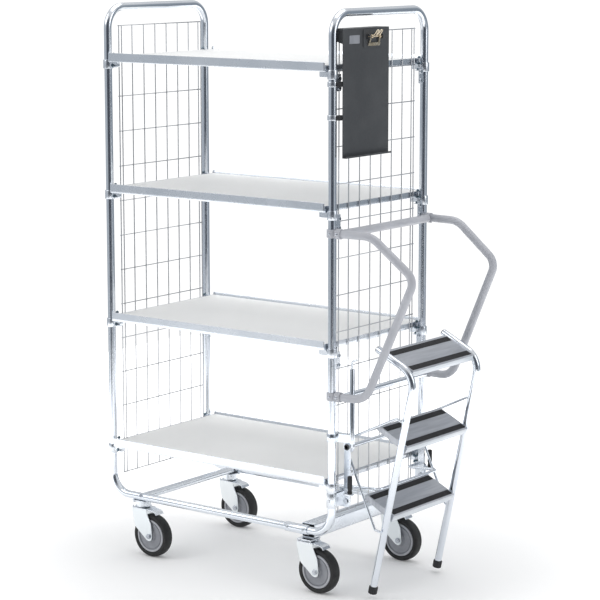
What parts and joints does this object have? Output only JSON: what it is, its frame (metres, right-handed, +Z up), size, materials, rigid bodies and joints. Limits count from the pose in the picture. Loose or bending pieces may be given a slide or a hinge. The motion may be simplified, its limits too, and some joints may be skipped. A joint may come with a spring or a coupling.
{
  "type": "mobile ladder stand",
  "caption": "Order-picking shelf trolley on swivel castors with mesh ends, a sprung swing-down step ladder, grab handles and a writing board at one end.",
  "frame": {"origin": "middle of the whole object's footprint, on the floor, ladder end included", "axes": "+Z up, +X towards the ladder end, -Y towards the open front with the writing board"},
  "size_m": [1.0576, 0.464, 1.592],
  "materials": {
    "zinc_tube": "bright zinc-plated steel tube and rod",
    "zinc_sheet": "bright zinc-plated pressed steel sheet",
    "zinc_wire": "zinc-plated welded wire",
    "white_board": "white laminated board, satin",
    "grey_paint": "grey powder coat, satin",
    "tread_metal": "mill-finish ribbed aluminium with black anti-slip strips",
    "black_paint": "dark grey powder coat, fine texture",
    "black_rubber": "moulded black rubber",
    "tyre": "solid dark rubber tyre",
    "grey_plastic": "moulded grey plastic wheel centre",
    "brass": "brass-plated spring clip"
  },
  "bodies": {
    "trolley": {"left_end_frame": "zinc_tube", "right_end_frame": "zinc_tube", "front_joint_sleeve": "zinc_tube", "rear_joint_sleeve": "zinc_tube", "left_cross_member": "zinc_tube", "right_cross_member": "zinc_tube", "shelf_rim_1": "zinc_sheet", "shelf_board_1": "white_board", "shelf_rim_2": "zinc_sheet", "shelf_board_2": "white_board", "shelf_rim_3": "zinc_sheet", "shelf_board_3": "white_board", "shelf_rim_4": "zinc_sheet", "shelf_board_4": "white_board", "left_mesh_panel": "zinc_wire", "right_mesh_panel": "zinc_wire", "front_handle_loop": "grey_paint", "rear_handle_loop": "grey_paint", "upper_crossbar": "grey_paint", "lower_crossbar": "zinc_tube", "writing_board": "black_paint", "board_strap_upper": "black_paint", "board_strap_lower": "black_paint", "clip_base": "black_paint", "ladder_bracket_front": "zinc_sheet", "ladder_buffer_front": "black_rubber", "ladder_bracket_rear": "zinc_sheet", "ladder_buffer_rear": "black_rubber", "stop_bar": "zinc_tube", "release_tube": "grey_paint", "castor_front_left_mount": "zinc_sheet", "castor_rear_left_mount": "zinc_sheet", "castor_front_right_mount": "zinc_sheet", "castor_rear_right_mount": "zinc_sheet"},
    "castor_front_left_swivel": {"castor_front_left_fork": "zinc_sheet"},
    "castor_front_left_wheel": {"castor_front_left_tyre": "tyre", "castor_front_left_rim": "grey_plastic"},
    "castor_rear_left_swivel": {"castor_rear_left_fork": "zinc_sheet"},
    "castor_rear_left_wheel": {"castor_rear_left_tyre": "tyre", "castor_rear_left_rim": "grey_plastic"},
    "castor_front_right_swivel": {"castor_front_right_fork": "zinc_sheet"},
    "castor_front_right_wheel": {"castor_front_right_tyre": "tyre", "castor_front_right_rim": "grey_plastic"},
    "castor_rear_right_swivel": {"castor_rear_right_fork": "zinc_sheet"},
    "castor_rear_right_wheel": {"castor_rear_right_tyre": "tyre", "castor_rear_right_rim": "grey_plastic"},
    "ladder_arms": {"swing_arm_front": "zinc_sheet", "swing_arm_rear": "zinc_sheet", "hinge_shaft": "zinc_tube"},
    "ladder": {"ladder_rail_front": "zinc_tube", "ladder_foot_front": "black_rubber", "ladder_brace_front": "zinc_tube", "ladder_rail_rear": "zinc_tube", "ladder_foot_rear": "black_rubber", "ladder_brace_rear": "zinc_tube", "tread_top": "tread_metal", "tread_middle": "tread_metal", "tread_bottom": "tread_metal"},
    "release_rod": {"release_rod": "zinc_tube"},
    "clip_jaw": {"clip_jaw": "brass"}
  },
  "joints": [
    {"name": "castor_front_left_swivel_turn", "type": "hinge", "parent": "trolley", "child": "castor_front_left_swivel", "pos_m": [-0.41449, -0.2, 0.142], "axis": [0, 0, 1], "continuous": true},
    {"name": "castor_front_left_wheel_spin", "type": "hinge", "parent": "castor_front_left_swivel", "child": "castor_front_left_wheel", "pos_m": [-0.37849, -0.2, 0.0625], "axis": [0, 1, 0], "continuous": true},
    {"name": "castor_rear_left_swivel_turn", "type": "hinge", "parent": "trolley", "child": "castor_rear_left_swivel", "pos_m": [-0.41449, 0.2, 0.142], "axis": [0, 0, 1], "continuous": true},
    {"name": "castor_rear_left_wheel_spin", "type": "hinge", "parent": "castor_rear_left_swivel", "child": "castor_rear_left_wheel", "pos_m": [-0.37849, 0.2, 0.0625], "axis": [0, 1, 0], "continuous": true},
    {"name": "castor_front_right_swivel_turn", "type": "hinge", "parent": "trolley", "child": "castor_front_right_swivel", "pos_m": [0.18551, -0.2, 0.142], "axis": [0, 0, 1], "continuous": true},
    {"name": "castor_front_right_wheel_spin", "type": "hinge", "parent": "castor_front_right_swivel", "child": "castor_front_right_wheel", "pos_m": [0.22151, -0.2, 0.0625], "axis": [0, 1, 0], "continuous": true},
    {"name": "castor_rear_right_swivel_turn", "type": "hinge", "parent": "trolley", "child": "castor_rear_right_swivel", "pos_m": [0.18551, 0.2, 0.142], "axis": [0, 0, 1], "continuous": true},
    {"name": "castor_rear_right_wheel_spin", "type": "hinge", "parent": "castor_rear_right_swivel", "child": "castor_rear_right_wheel", "pos_m": [0.22151, 0.2, 0.0625], "axis": [0, 1, 0], "continuous": true},
    {"name": "ladder_swing", "type": "hinge", "parent": "trolley", "child": "ladder_arms", "pos_m": [0.30051, 0, 0.268], "axis": [0, 1, 0], "range_deg": [0, 64], "stiffness_Nm_per_rad": 7, "springref_deg": -14.32},
    {"name": "ladder_tilt", "type": "hinge", "parent": "ladder_arms", "child": "ladder", "pos_m": [0.30051, 0, 0.417], "axis": [0, 1, 0], "range_deg": [-90.5, 0]},
    {"name": "release_lift", "type": "slide", "parent": "trolley", "child": "release_rod", "axis": [0, 0, 1], "range_m": [0, 0.015], "stiffness_N_per_m": 300, "springref_m": -0.005},
    {"name": "clip_open", "type": "hinge", "parent": "trolley", "child": "clip_jaw", "pos_m": [0.31081, -0.072, 1.517], "axis": [0, -1, 0], "range_deg": [0, 25], "stiffness_Nm_per_rad": 0.3, "springref_deg": -17.19}
  ],
  "couplings": [
    {"joint": "ladder_tilt", "follows": "ladder_swing", "ratio": -1.4062}
  ]
}
